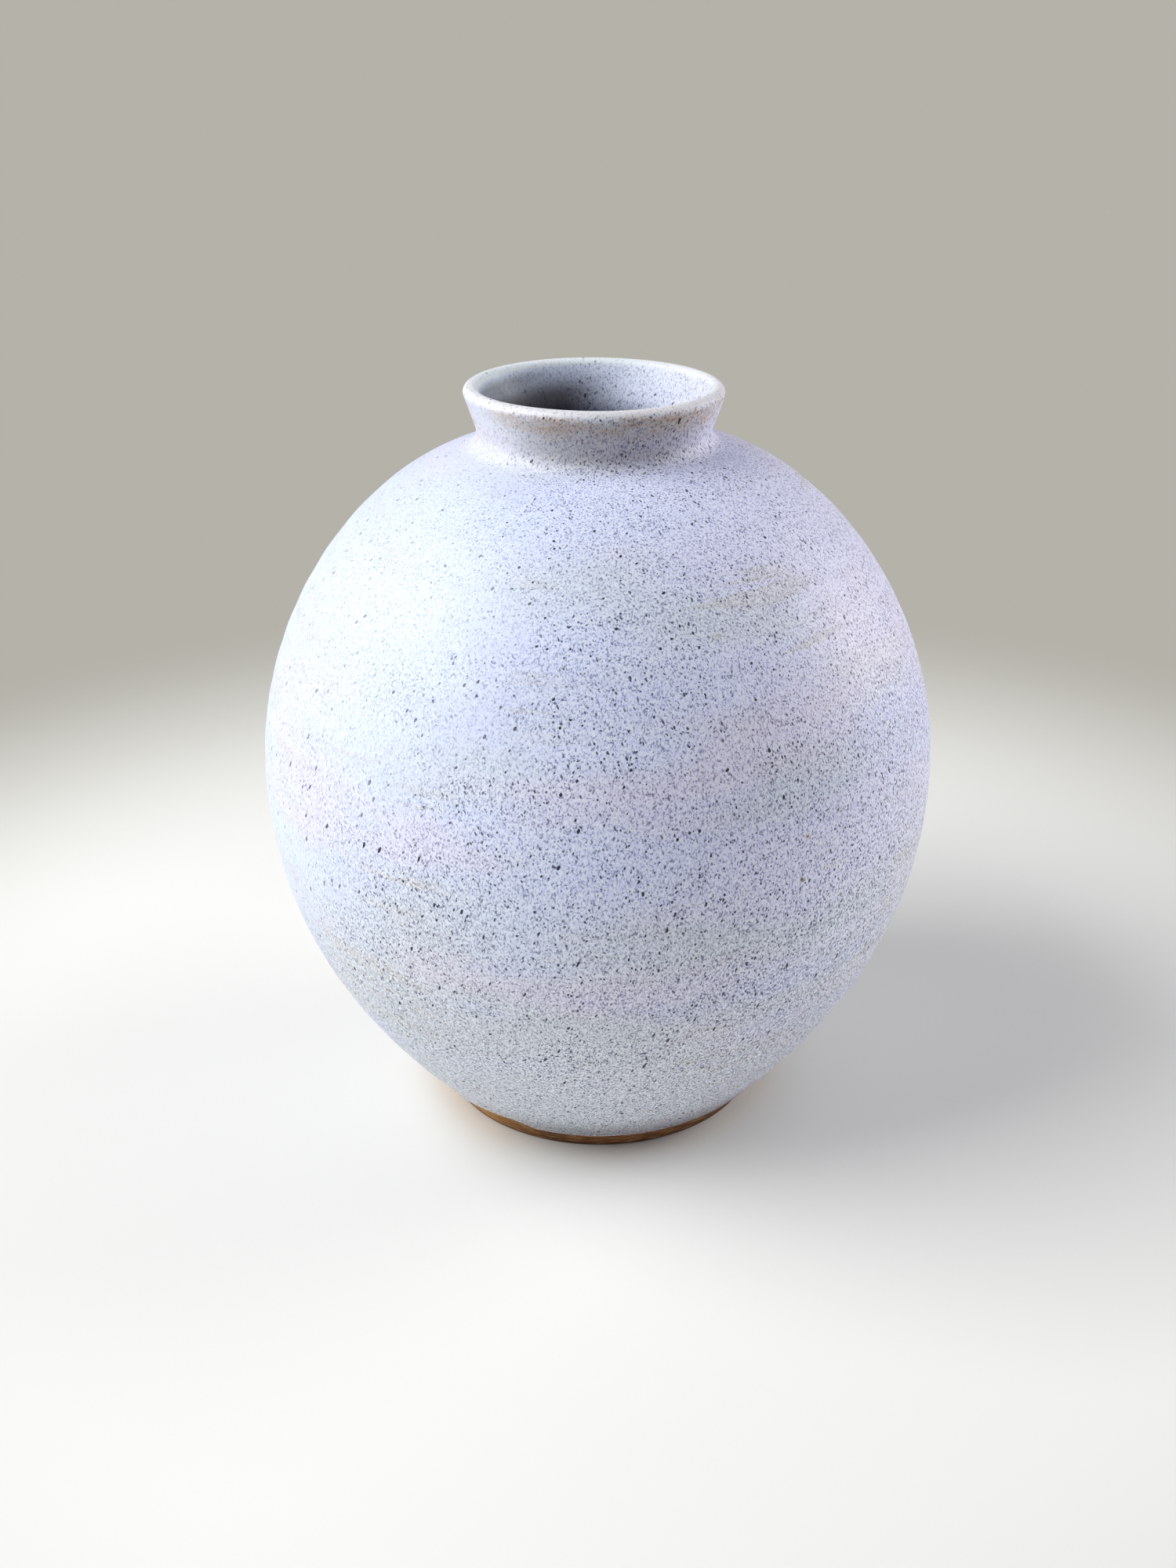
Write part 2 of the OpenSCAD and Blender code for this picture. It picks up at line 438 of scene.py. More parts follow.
# %% [markdown]
# ## The bare foot
#
# The foot is turned, not thrown: when the clay was leather-hard, a metal loop shaved it on the spinning
# wheel. That leaves fine level lines, a slightly torn grain where the grog was dragged, and a soft rounded
# edge. The lines are about three quarters of a millimetre apart and less than a tenth deep, and they are in
# the mesh, because light that falls along the wall picks them out.

# %% Fill in an outline
def refined(outline, closed, spacing_at):
    """The outline with extra points on its straight stretches, spacing_at(middle) apart at most."""
    ring = np.vstack([outline, outline[:1]]) if closed else outline
    points = []
    for a, b in zip(ring[:-1], ring[1:]):
        count = max(1, math.ceil(np.hypot(*(b - a)) / spacing_at((a + b) / 2)))
        points += [a + (b - a) * i / count for i in range(count)]
    if not closed:
        points.append(ring[-1])
    return np.array(points)


def tool_lines(angle, height, pitch, seed):
    """From 0 to 1: level lines left by the turning tool, uneven in spacing and strength."""
    turn = height / pitch + 0.5 * wander(angle, height, seed, waves=3, drift=900)
    strength = 0.6 + 0.4 * wander(angle, height, seed + 1, waves=6, drift=1500)
    return np.clip(strength, 0.1, 1) * (0.5 - 0.5 * np.cos(2 * math.pi * turn))


# %% Build the foot ring
FOOT_COLUMNS = 420
TOOL_PITCH = 0.75 * MM
TOOL_DEPTH = 0.07 * MM
DRAG = 0.05 * MM
FACE_PITCH, FACE_DEPTH = 1.1 * MM, 0.03 * MM  # the lines on the face that the pot stands on
WALL_STEP, FOOT_STEP = 0.14 * MM, 0.6 * MM  # how far apart rows are on the outer wall, and elsewhere
WALL_SHARE = 0.2  # the middle of the wall lies in this outer share of the ring's width
TAPER = 4 * MM  # the wall comes in by about this much on its way down to the face
SOFT_TURN = 0.4 * MM  # marks fade out this far before the edge between wall and face, and this far past it
TOP_FADE = 0.5 * MM  # and this far below the ring's top
ring_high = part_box("foot_ring")[1]
ring_inner, ring_outer = ring_outline[:, 0].min(), ring_outline[:, 0].max()


def foot_spacing(middle):
    """Close rows on the outer wall, which shows, and wider ones elsewhere."""
    outer_part = middle[0] > ring_outer - WALL_SHARE * (ring_outer - ring_inner)
    below_top = middle[1] < ring_high.z - LEVEL
    return WALL_STEP if outer_part and below_top else FOOT_STEP


angle = round_angles(FOOT_COLUMNS)[None, :]
points = refined(ring_outline, True, foot_spacing)
radius, height = (c[:, None] + 0 * angle for c in points.T)
wall_part = smooth_step(radius, ring_outer - TAPER - SOFT_TURN, ring_outer - TAPER + SOFT_TURN)
bore_part = 1 - smooth_step(radius, ring_inner + 0.1 * MM, ring_inner + 0.5 * MM)
dragged = 0.5 + 0.5 * wander(angle, height, seed=63, waves=30, drift=2500)
lines = TOOL_DEPTH * tool_lines(angle, height, TOOL_PITCH, seed=61) + DRAG * dragged
top_fade = 1 - smooth_step(height, ring_high.z - TOP_FADE, ring_high.z)
radius = radius + (bore_part - wall_part) * top_fade * lines
face_part = (1 - wall_part) * (1 - bore_part) * (height < LEVEL)
height = height + face_part * FACE_DEPTH * tool_lines(angle, radius, FACE_PITCH, seed=65)
foot_ring = turned("foot_ring_turned", radius, height, closed=True, from_edge=height - edge_height(angle))

# %% [markdown]
# ## The thrown body
#
# The glaze hides the clay nearly everywhere. It shows in two places: a thin strip above the foot, where the
# glaze line steps up, and the shallow recess underneath, which was turned with a loop tool moving slowly
# outwards, so its grooves are one spiral with a small button at the centre. Those two get close rows and
# their marks, and the rest makes do with a few of the CAD's points.

# %% Choose the body's rows
HIDDEN_STEP = 5 * MM
UNDER_STEP, STRIP_STEP = 0.5 * MM, 0.15 * MM  # how far apart rows are on the two places that show
STRIP_HEIGHT = 6 * MM  # the strip with tool marks reaches a little higher than the glaze line's step
body_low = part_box("thrown_body")[0]
recess_r = ring_inner
strip_top = ring_high.z + STRIP_HEIGHT


def thinned(outline):
    """The outline with fewer points where glaze hides the clay, at most about HIDDEN_STEP apart."""
    kept = [outline[0]]
    for before, point, after in zip(outline[:-2], outline[1:-1], outline[2:]):
        step_in, step_out = point - before, after - point
        corner = np.dot(step_in, step_out) < 0.9 * np.hypot(*step_in) * np.hypot(*step_out)
        if corner or point[1] < strip_top or np.hypot(*(after - kept[-1])) > HIDDEN_STEP:
            kept.append(point)
    return np.array(kept + [outline[-1]])


def body_spacing(middle):
    """Close rows under the floor and on the strip above the foot, and no extra ones elsewhere."""
    if middle[1] < body_low.z + LEVEL:
        return UNDER_STEP
    on_strip = middle[0] > recess_r and middle[1] < strip_top
    return STRIP_STEP if on_strip else math.inf


points = refined(thinned(body_outline), False, body_spacing)
print(f"{len(body_outline)} points in the CAD's outline, {len(points)} rows here")

# %% Build the thrown body
BODY_COLUMNS = 260
SPIRAL_PITCH = 2.6 * MM
SPIRAL_DEPTH = 0.16 * MM
SCRATCH_PITCH, SCRATCH_SHARE = 0.8 * MM, 0.4  # finer lines between the spiral's grooves
BUTTON_R, GROOVES_FROM = 1.5 * MM, 4 * MM  # the button is smooth, and the grooves are full from here
RIM_START, RIM_END = 3 * MM, 0.5 * MM  # they fade out between these distances from the foot ring

angle = round_angles(BODY_COLUMNS)[None, :]
radius, height = (c[:, None] + 0 * angle for c in points.T)
on_strip = (radius > recess_r) & (height > ring_high.z + LEVEL) & (height < strip_top)
radius = radius - on_strip * TOOL_DEPTH * tool_lines(angle, height, TOOL_PITCH, seed=61)
under = height < body_low.z + LEVEL
spiral = 0.5 - 0.5 * np.cos(2 * math.pi * radius / SPIRAL_PITCH - angle)
rim_fade = 1 - smooth_step(radius, recess_r - RIM_START, recess_r - RIM_END)
hub_fade = smooth_step(radius, BUTTON_R, GROOVES_FROM)
scratches = SCRATCH_SHARE * tool_lines(angle, radius, SCRATCH_PITCH, seed=71)
height = height + under * SPIRAL_DEPTH * rim_fade * hub_fade * (spiral + scratches)
thrown_body = turned("thrown_body_clay", radius, height, closed=False, from_edge=height - edge_height(angle))

# %% [markdown]
# ## The collar's clay
#
# The collar is sealed in glaze on every side, so nobody sees its clay. It is turned again all the same,
# because the clay has to lean with the glaze round it: left upright, it would break through the lip. Its
# material asks how far the glaze's edge is, and here any answer will do.

# %% Build the collar's clay
COLLAR_COLUMNS = 180
COLLAR_STEP = 2 * MM
collar_outline = cad_outline("neck_collar")
angle = round_angles(COLLAR_COLUMNS)[None, :]
points = refined(collar_outline, True, lambda middle: COLLAR_STEP)
radius, height = (c[:, None] + 0 * angle for c in points.T)
neck_collar = turned("neck_collar_clay", radius, height, closed=True, from_edge=0 * height)

# %% [markdown]
# ## Node helpers
#
# Materials in this lesson are made of nodes alone, with no image. A node tree written out link by link is
# hard to read, so a few helpers do it: `add` makes a node and fills its sockets with values or links,
# `mix` blends two colours, `remap` stretches a range of values, `times` multiplies masks, `lay` lays one
# colour over another through masks, and `by_height` makes a mask from the height above the table. `tint`
# takes a colour the way we see it on a screen and gives the linear values that Blender works with.

# %% Helpers for nodes
def tint(red, green, blue):
    """A colour seen as 0 to 255 on a screen, as the linear colour that a socket takes."""
    seen = [c / 255 for c in (red, green, blue)]
    return [c / 12.92 if c <= 0.04045 else ((c + 0.055) / 1.055) ** 2.4 for c in seen] + [1.0]


def add(tree, kind, sockets=None, **settings):
    """A new node with its settings made and its sockets given values or links."""
    made = tree.nodes.new("ShaderNode" + kind)
    for key, value in settings.items():
        setattr(made, key, value)
    for key, value in (sockets or {}).items():
        if isinstance(value, bpy.types.NodeSocket):
            tree.links.new(value, made.inputs[key])
        else:
            made.inputs[key].default_value = value
    return made


def mix(tree, share, first, second, how="MIX"):
    """The colour between first and second, by share."""
    made = add(tree, "Mix", {0: share, 6: first, 7: second}, data_type="RGBA", blend_type=how)
    return made.outputs[2]


def remap(tree, value, low, high, to_low=0.0, to_high=1.0):
    """value stretched from low..high to to_low..to_high, softly and without going past them."""
    made = add(
        tree, "MapRange",
        {"Value": value, "From Min": low, "From Max": high, "To Min": to_low, "To Max": to_high},
        interpolation_type="SMOOTHSTEP",
    )
    return made.outputs["Result"]


def math_node(tree, how, first, second=0.0):
    """The result of a sum on two numbers or sockets."""
    return add(tree, "Math", {0: first, 1: second}, operation=how).outputs[0]


def times(tree, first, *others):
    """Masks and numbers, multiplied."""
    for other in others:
        first = math_node(tree, "MULTIPLY", first, other)
    return first


def lay(tree, colour, over, *masks):
    """colour with over laid on it, as strongly as all the masks multiplied."""
    return mix(tree, times(tree, *masks), colour, over)


def by_height(tree, where, base, start, end):
    """0 to 1 from the height base + start to the height base + end, which may be the lower one."""
    height = add(tree, "SeparateXYZ", {0: where}).outputs[2]
    return remap(tree, height, base + start, base + end)


def noise(tree, where, size, detail=2.0, rough=0.5, stretch=(1, 1, 1), lean=0.0):
    """Cloudy values from 0 to 1 whose lumps are about size metres across, stretched along each axis."""
    scale = tuple(1 / (size * s) for s in stretch)
    where = add(tree, "Mapping", {"Vector": where, "Rotation": (0, lean, 0), "Scale": scale}).outputs[0]
    sockets = {"Vector": where, "Scale": 1.0, "Detail": detail, "Roughness": rough}
    return add(tree, "TexNoise", sockets).outputs[0]


def new_material(name):
    """A fresh material, its node tree, its shader, and the place in the piece's own space."""
    made = bpy.data.materials.new(name)
    made.use_nodes = True
    tree = made.node_tree
    return made, tree, tree.nodes["Principled BSDF"], add(tree, "TexCoord").outputs["Object"]


def press(tree, shader, feel, depth):
    """Raise and sink the shading by feel, where 1 stands for depth metres."""
    bump = add(tree, "Bump", {"Height": feel, "Strength": 1.0, "Distance": depth})
    tree.links.new(bump.outputs[0], shader.inputs["Normal"])


# %% [markdown]
# ## Iron in the glaze
#
# Stoneware clay holds grains of iron. In the kiln they melt and bleed up through a pale glaze as dark
# spots, from pepper as fine as dust to a few blots over a millimetre wide. A Voronoi texture scatters one
# point in each cell of space, which is just such a scatter: its distance output makes each spot, and its
# random colour gives each cell its own size, so that some stay empty. The coordinates are pushed about by
# a fine noise first, because real spots are ragged and never round.

# %% Scatter spots
def ragged(tree, where, size, amount):
    """where, pushed about by a fine noise so that what is drawn on it has ragged edges."""
    push = add(tree, "TexNoise", {"Vector": where, "Scale": 1 / size, "Detail": 1.0}).outputs["Color"]
    push = add(tree, "VectorMath", {0: push, 1: (0.5, 0.5, 0.5)}, operation="SUBTRACT").outputs[0]
    push = add(tree, "VectorMath", {0: push, "Scale": amount}, operation="SCALE").outputs[0]
    return add(tree, "VectorMath", {0: where, 1: push}, operation="ADD").outputs[0]


def spots(tree, where, spacing, radius, share, soft=0.35, tall=1.35, lean=0.0):
    """A mask that is 1 in scattered spots. radius is the largest spot's; share is how many cells have one."""
    turn = {"Vector": where, "Rotation": (lean, lean, 0), "Scale": (1, 1, tall)}
    where = add(tree, "Mapping", turn, vector_type="TEXTURE").outputs[0]
    cells = add(tree, "TexVoronoi", {"Vector": where, "Scale": 1 / spacing, "Randomness": 1.0})
    chance = add(tree, "SeparateColor", {0: cells.outputs["Color"]})
    has_spot = math_node(tree, "LESS_THAN", chance.outputs[0], share)
    reach = remap(tree, chance.outputs[1], 0.0, 1.0, 0.45 * radius / spacing, radius / spacing)
    disc = remap(tree, cells.outputs["Distance"], reach, times(tree, reach, 1 - soft))
    return times(tree, disc, has_spot)


# %% [markdown]
# ## The satin glaze
#
# The glaze is a pale lavender white, and it is built up in four steps, from the broad to the fine. First
# come soft clouds, drawn out sideways by the turning wheel: cool grey, a hint of pink, a hint of green.
# Under them the ground is painted lighter and bluer high up, as light from above, and darker and greyer
# low down, as shade. Where the glaze lies thin over the throwing rings, faint warm streaks show in groups.

# %% Clouds and streaks
WIDE = (1.7, 1.7, 0.7)  # clouds are drawn out sideways
BANDS = (3.0, 3.0, 0.8)  # bands even more so
STREAKS = (16, 16, 1)  # and streaks most of all
BORDER_SIZE = 34 * MM  # size of the lumps in a cloudy border
BORDER_REACH = 90 * MM  # how far they push the border about
# the lower colours are painted darker and greyer than the upper ones, as shade low down
UPPER_LEFT, UPPER_RIGHT = tint(210, 221, 253), tint(225, 223, 255)
LOWER_LEFT, LOWER_RIGHT = tint(205, 210, 219), tint(211, 210, 221)
COOL_BAND, GREEN_BAND, PINK_BAND = tint(200, 206, 248), tint(203, 214, 216), tint(228, 212, 233)
WARM_STREAK = tint(204, 199, 198)


def drift(tree, where, towards, low, high):
    """0 to 1 across the pot in the direction towards, from low to high metres, with a cloudy border."""
    along = add(tree, "VectorMath", {0: where, 1: towards}, operation="DOT_PRODUCT").outputs["Value"]
    unrest = times(tree, noise(tree, where, BORDER_SIZE, 2, stretch=WIDE), BORDER_REACH)
    middle = BORDER_REACH / 2
    return remap(tree, math_node(tree, "ADD", along, unrest), low + middle, high + middle)


def cloudy_colour(tree, where):
    """The glaze's ground colour, drifting softly round the pot, painted lighter and bluer above than low
    down.
    """
    rightwards = drift(tree, where, (1, 0, 0), -30 * MM, 60 * MM)
    upper = mix(tree, rightwards, UPPER_LEFT, UPPER_RIGHT)
    lower = mix(tree, rightwards, LOWER_LEFT, LOWER_RIGHT)
    # painted light and shade: lighter and bluer high up, darker and greyer low down
    colour = mix(tree, drift(tree, where, (0, 0, 1), 60 * MM, 115 * MM), lower, upper)
    for shade, size, lean, strength in (
        (COOL_BAND, 27 * MM, 0.06, 0.55),
        (GREEN_BAND, 31 * MM, -0.05, 0.45),
        (PINK_BAND, 28 * MM, 0.15, 0.45),
    ):
        band = remap(tree, noise(tree, where, size, 2, stretch=BANDS, lean=lean), 0.50, 0.66)
        colour = lay(tree, colour, shade, band, strength)
    streak = remap(tree, noise(tree, where, 4.2 * MM, 2, 0.6, stretch=STREAKS, lean=0.09), 0.53, 0.64)
    group = remap(tree, noise(tree, where, 45 * MM, 1), 0.46, 0.58)
    return lay(tree, colour, WARM_STREAK, streak, group, 0.6)


# %% [markdown]
# Second, light and shade are painted into the coat. The upper left of the shoulder, which faces the key
# lamp, is painted whiter and shows less iron, as a painted highlight. The front of the short neck is painted
# grey as shade under the lip, and down by the foot, on the front and the right, the glaze is painted grey,
# partly as shade near the floor and partly as thin glaze. Where it pulls over the lip's outer edge it breaks
# to tan. The crest itself stays smooth and white, and the rolled edge at the foot stays pale as a painted
# highlight. Inside, the left of the throat is painted dark as the shadow of the lip. More iron is painted
# low down and on the right, on the shaded side.

# %% Painted light and shade, and the tan break
def facing(tree, where, degrees, low, high):
    """0 to 1 across the pot in a level direction, which is given in degrees from the front to the right."""
    towards = (math.sin(math.radians(degrees)), -math.cos(math.radians(degrees)), 0)
    along = add(tree, "VectorMath", {0: where, 1: towards}, operation="DOT_PRODUCT").outputs["Value"]
    return remap(tree, along, low, high)


def shoulder_highlight(tree, where):
    """How much is painted whiter, with less iron, as a highlight: 1 on the upper left shoulder and 0
    elsewhere.
    """
    return drift(tree, where, (-0.80, -0.30, 0.52), 85 * MM, 145 * MM)


def shaded_side_iron(tree, where):
    """How much more iron is painted as shade: 1 low down and on the right, and 0 on the upper left."""
    return drift(tree, where, (0.70, -0.10, -0.70), -75 * MM, 20 * MM)


def neck_front_shade(tree, where):
    """Painted shade under the lip: 1 in front on the neck between shoulder and lip, and 0 elsewhere."""
    above_shoulder = by_height(tree, where, collar_low.z, 2.5 * MM, 6.5 * MM)
    below_lip = by_height(tree, where, crest_z, -1.4 * MM, -3.8 * MM)
    return times(tree, above_shoulder, below_lip, facing(tree, where, 9, 16 * MM, 31 * MM))


def lip_break(tree, where):
    """1 in patches just under the lip's outer edge, fading out down the neck."""
    rising = by_height(tree, where, crest_z, -9 * MM, -3.4 * MM)
    below_lip = by_height(tree, where, crest_z, -1.4 * MM, -2.4 * MM)
    patches = remap(tree, noise(tree, where, 6 * MM, 3, 0.6, stretch=(2.2, 2.2, 0.5)), 0.36, 0.62)
    return times(tree, rising, below_lip, patches, facing(tree, where, 14, 8 * MM, 26 * MM))


def smooth_crest(tree, where):
    """1 on the crest of the lip, and 0 below it."""
    return by_height(tree, where, crest_z, -2.4 * MM, -1.2 * MM)


def foot_shade_and_thin_glaze(tree, where):
    """Painted shade, partly thin glaze: 1 at the glaze's lower edge on the front and the right, and 0
    elsewhere.
    """
    low = by_height(tree, where, ring_high.z, 15 * MM, -1 * MM)
    return times(tree, low, facing(tree, where, 55, -20 * MM, 25 * MM))


def lip_shadow_inside(tree, where):
    """Painted shadow of the lip inside the neck: 1 low on the left, less right under the lip, 0 on the right
    and in the globe.
    """
    deep = by_height(tree, where, crest_z, -1 * MM, -9.5 * MM)
    above_globe = by_height(tree, where, crest_z, -26 * MM, -15 * MM)
    low_left = times(tree, deep, above_globe, facing(tree, where, -75, -18 * MM, 2 * MM))
    under_lip = by_height(tree, where, crest_z, -1 * MM, -4 * MM)
    high_left = times(tree, under_lip, 0.7, facing(tree, where, -90, 4 * MM, 22 * MM))
    return math_node(tree, "MAXIMUM", low_left, high_left)


# %% [markdown]
# Third, a dense grain of light and dark, half a millimetre across and a little taller than wide, which
# makes the surface look like fine cloth from near by. Its middle tone is the ground colour.

# %% Grain
GRAIN = 0.47 * MM
PALE_GRAIN, DARK_GRAIN = tint(238, 243, 255), tint(104, 112, 146)


def grainy(tree, where, colour, iron):
    """colour under the dense grain, and the grain itself for the surface's feel."""
    bent = ragged(tree, where, 1.8 * MM, 0.9 * MM)
    grain = noise(tree, bent, GRAIN, 2, 0.65, stretch=(1, 1, 1.7))
    colour = lay(tree, colour, PALE_GRAIN, remap(tree, grain, 0.51, 0.39), 0.75, iron)
    colour = lay(tree, colour, DARK_GRAIN, remap(tree, grain, 0.52, 0.67), 0.85, iron)
    return colour, grain


# %% [markdown]
# Last come the spots. Dust, pepper and iron spots are scatters of their own size and spacing. The pepper
# is two of them, which lean to either side, and it is stronger in some patches than in others. A few black
# pits have a pale rim, and once in a while there is an olive blot in a buff halo.

# %% Spots
DUST, PEPPER, IRON = tint(66, 76, 110), tint(30, 36, 74), tint(20, 24, 50)
PIT, PIT_RIM = tint(26, 24, 28), tint(240, 240, 248)
OLIVE_BLOT, BUFF_HALO = tint(74, 70, 44), tint(205, 196, 172)


def spotted(tree, where, colour, iron):
    """colour with all its spots, and the masks of the iron spots and the pits."""
    bent = ragged(tree, where, 1.3 * MM, 0.55 * MM)
    patch = remap(tree, noise(tree, where, 9 * MM, 1), 0.30, 0.55, 0.5, 1.0)
    dust = spots(tree, bent, 0.85 * MM, 0.22 * MM, 0.85, soft=0.6, tall=1.4)
    colour = lay(tree, colour, DUST, dust, 0.6, iron)
    for spacing, lean in ((1.05 * MM, 0.40), (1.2 * MM, -0.45)):
        pepper = spots(tree, bent, spacing, 0.32 * MM, 0.8, soft=0.4, tall=2.1, lean=lean)
        colour = lay(tree, colour, PEPPER, pepper, patch, 0.95, iron)
    iron_spots = spots(tree, bent, 2.2 * MM, 0.43 * MM, 0.45, soft=0.25, tall=2.6, lean=0.3)
    colour = lay(tree, colour, IRON, iron_spots, remap(tree, iron, 0.2, 0.8, 0.5, 0.98))
    pit = spots(tree, where, 9 * MM, 0.45 * MM, 0.5, soft=0.3, tall=1.0)
    pit_rim = spots(tree, where, 9 * MM, 0.85 * MM, 0.5, soft=0.5, tall=1.0)
    colour = lay(tree, colour, PIT_RIM, pit_rim, 0.5)
    colour = lay(tree, colour, PIT, pit)
    halo = spots(tree, bent, 21 * MM, 2.0 * MM, 0.35, soft=0.6, tall=0.8)
    blot = spots(tree, bent, 21 * MM, 1.05 * MM, 0.35, soft=0.4, tall=0.8)
    colour = lay(tree, colour, BUFF_HALO, halo, 0.55)
    colour = lay(tree, colour, OLIVE_BLOT, blot, 0.85)
    return colour, iron_spots, pit


# %% [markdown]
# The finish is satin: a roughness near one half that drifts a little, with the grain raised and the iron
# sunk by a few hundredths of a millimetre. The painted shade, partly thin glaze by the foot, the rolled
# edge's painted highlight and the tan break are multiplied in at the end, so that the grain stays as fine in
# the grey parts. The same recipe coats the inside, with its own painted shade and with less iron, because
# the liner was poured over a finer slip.

# %% Painted shade and highlight, thin glaze and tan break
PLAIN = (1, 1, 1, 1)
NECK_WARMTH = tint(252, 247, 241)
# painted shade on the front of the neck, under the lip
NECK_SHADE_GREY = tint(211, 202, 191)
TAN_BREAK = tint(238, 208, 178)
# painted shade by the foot, partly thin glaze
FOOT_SHADE_GREY = tint(190, 189, 182)
# painted highlight on the rolled edge of the glaze
ROLLED_EDGE_HIGHLIGHT = tint(255, 244, 244)
# painted shadow of the lip inside the neck
LIP_SHADOW_GREY = tint(98, 93, 89)
LINER_WARMTH = tint(252, 255, 246)
# painted shade deep in the globe
GLOBE_SHADE_GREY = tint(196, 190, 193)


def outer_shade(tree, where):
    """What is multiplied into the outer coat's colour: a warmer neck, painted shade, the tan break and a
    highlight.
    """
    on_neck = by_height(tree, where, collar_low.z, 1 * MM, 4 * MM)
    shade = mix(tree, on_neck, PLAIN, NECK_WARMTH)
    # painted shade on the front of the neck, under the lip
    shade = lay(tree, shade, NECK_SHADE_GREY, neck_front_shade(tree, where))
    tanned = mix(tree, 1.0, shade, TAN_BREAK, "MULTIPLY")
    shade = lay(tree, shade, tanned, lip_break(tree, where), 0.8)
    # painted shade by the foot, partly thin glaze
    shade = lay(tree, shade, FOOT_SHADE_GREY, foot_shade_and_thin_glaze(tree, where))
    from_edge = add(tree, "Attribute", attribute_name="from_edge").outputs["Fac"]
    # painted highlight on the rolled edge of the glaze
    return lay(tree, shade, ROLLED_EDGE_HIGHLIGHT, remap(tree, from_edge, 0.4 * MM, 0.05 * MM))


def liner_shade(tree, where):
    """What is multiplied into the liner's colour: pale at the lip, painted shade in the globe and the lip's
    painted shadow.
    """
    deep = by_height(tree, where, crest_z, -10 * MM, -22 * MM)
    # painted shade deep in the globe
    shade = mix(tree, deep, LINER_WARMTH, GLOBE_SHADE_GREY)
    # painted shadow of the lip inside the neck
    return lay(tree, shade, LIP_SHADOW_GREY, lip_shadow_inside(tree, where))


# %% Mix the glaze
# the first white is a painted highlight on the upper left shoulder
HIGHLIGHT_WHITE, CREST_WHITE = tint(222, 232, 248), tint(240, 241, 248)
GLAZE_SHINE = 0.4
GLAZE_FEEL = 0.06 * MM


def glaze_material(name, shade, iron=1.0):
    """The speckled satin glaze, darkened by shade. iron scales how much of the grain and pepper shows."""
    made, tree, shader, where = new_material(name)
    highlit = shoulder_highlight(tree, where)
    crest = smooth_crest(tree, where)
    # painted highlight: the upper left shoulder is whiter, and fewer specks show there and on the crest
    colour = lay(tree, cloudy_colour(tree, where), HIGHLIGHT_WHITE, highlit, 0.25)
    colour = lay(tree, colour, CREST_WHITE, crest, 0.6)
    hides = math_node(tree, "MAXIMUM", highlit, times(tree, crest, 1.1))
    # more grain and spots are painted low down and on the right, as shade
    rich = remap(tree, shaded_side_iron(tree, where), 0.0, 1.0, iron, 1.4 * iron)
    shows = times(tree, rich, remap(tree, hides, 0.0, 1.0, 1.0, 0.4))
    colour, grain = grainy(tree, where, colour, shows)
    colour, iron_spots, pit = spotted(tree, where, colour, shows)
    colour = mix(tree, 1.0, colour, shade(tree, where), "MULTIPLY")
    tree.links.new(colour, shader.inputs["Base Color"])
    sheen = remap(tree, noise(tree, where, 5 * MM, 3), 0.3, 0.7, 0.44, 0.56)
    tree.links.new(math_node(tree, "ADD", sheen, times(tree, pit, 0.25)), shader.inputs["Roughness"])
    shader.inputs["Specular IOR Level"].default_value = GLAZE_SHINE
    peel = noise(tree, where, 2.6 * MM, 2)
    lumps = math_node(tree, "ADD", times(tree, grain, -0.5), times(tree, peel, 0.8))
    sunk = math_node(tree, "ADD", times(tree, iron_spots, 0.5), times(tree, pit, 1.6))
    press(tree, shader, math_node(tree, "SUBTRACT", lumps, sunk), GLAZE_FEEL)
    return made


outer_glaze = glaze_material("speckled_glaze_satin", outer_shade)
liner_glaze = glaze_material("liner_glaze_satin", liner_shade, iron=0.65)
print("glaze nodes:", len(outer_glaze.node_tree.nodes))

# %% [markdown]
# ## The bare clay
#
# Fired with no glaze, this clay toasts to a golden brown, and it is painted darker on the front right, as
# shade on the side away from the key lamp. Right under the glaze it has a thin dark line, partly where the
# glaze lent it some flux and partly a painted shadow under the glaze's edge, and it is painted dark again
# along the bottom edge, as shade where the foot meets the floor. Level scratches and grains of sand and iron
# run through it, and it has hardly any shine.

# %% Mix the clay
GOLDEN_DARK, GOLDEN_PALE = tint(172, 120, 62), tint(210, 162, 92)
# the second pair of colours is painted shade on the front right
SHADED_CLAY_DARK, SHADED_CLAY_PALE = tint(94, 57, 29), tint(124, 80, 44)
SCRATCH_DARK, SCRATCH_PALE = tint(96, 60, 30), tint(226, 184, 124)
# the dark line under the glaze is partly flux and partly painted shadow; the dark bottom edge is painted
# shade
FLUX_AND_SHADOW_LINE, CONTACT_SHADE = tint(58, 36, 30), tint(70, 44, 24)
GROG, SAND = tint(74, 46, 24), tint(232, 204, 160)
CLAY_SHINE = 0.3
CLAY_FEEL = 0.07 * MM


